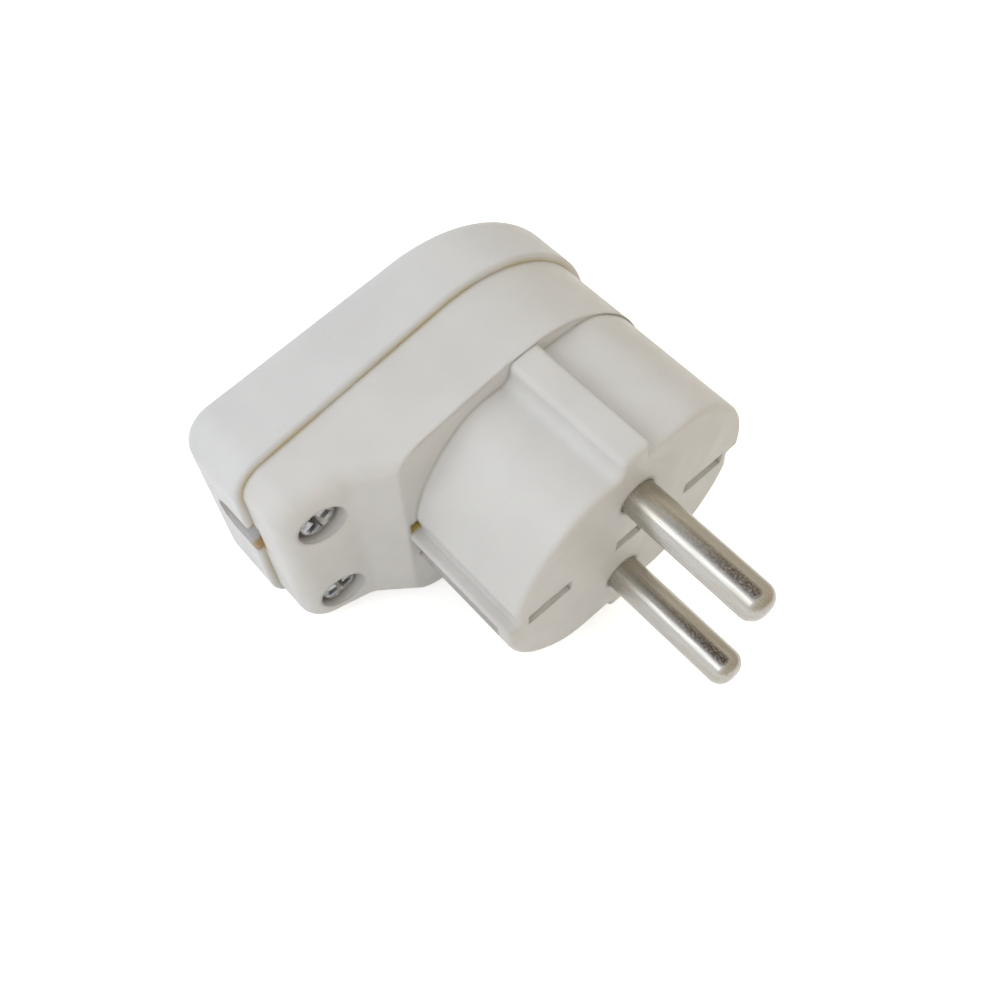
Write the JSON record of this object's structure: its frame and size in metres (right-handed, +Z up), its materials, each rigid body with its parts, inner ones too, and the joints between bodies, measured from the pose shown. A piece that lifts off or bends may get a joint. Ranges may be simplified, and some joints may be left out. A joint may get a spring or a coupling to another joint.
{
  "type": "angled schuko plug",
  "caption": "Angled rewirable mains plug with round pins, side earth contacts, a tapering housing and a screwed rear cap; joins an appliance cord to an earthed socket.",
  "frame": {"origin": "centre of the pin face, midway between the two pins", "axes": "+X the way the pins point; +Z up with the plug lying on its lower flank, so the line of the pins leans 10.8 degrees from +Z towards -Y; the cord leaves towards -Y"},
  "size_m": [0.0586, 0.0558, 0.041],
  "materials": {
    "housing": "white thermoplastic, satin",
    "cap": "white thermoplastic, satin, slightly cooler",
    "pin_metal": "nickel-plated, drawn lengthwise",
    "earth_metal": "nickel-plated sheet, dull",
    "screw_steel": "zinc-plated",
    "clamp_fibre": "pressed fibre, tan"
  },
  "bodies": {
    "root": {"base_body": "housing", "rear_cap": "cap", "contact_pin_upper": "pin_metal", "contact_pin_lower": "pin_metal", "terminal_screws": "screw_steel", "earth_bracket": "earth_metal", "earth_clamp_washer": "screw_steel", "earth_terminal_screw": "screw_steel", "cord_clamp_bar": "clamp_fibre", "cover_screws": "screw_steel"}
  },
  "joints": []
}
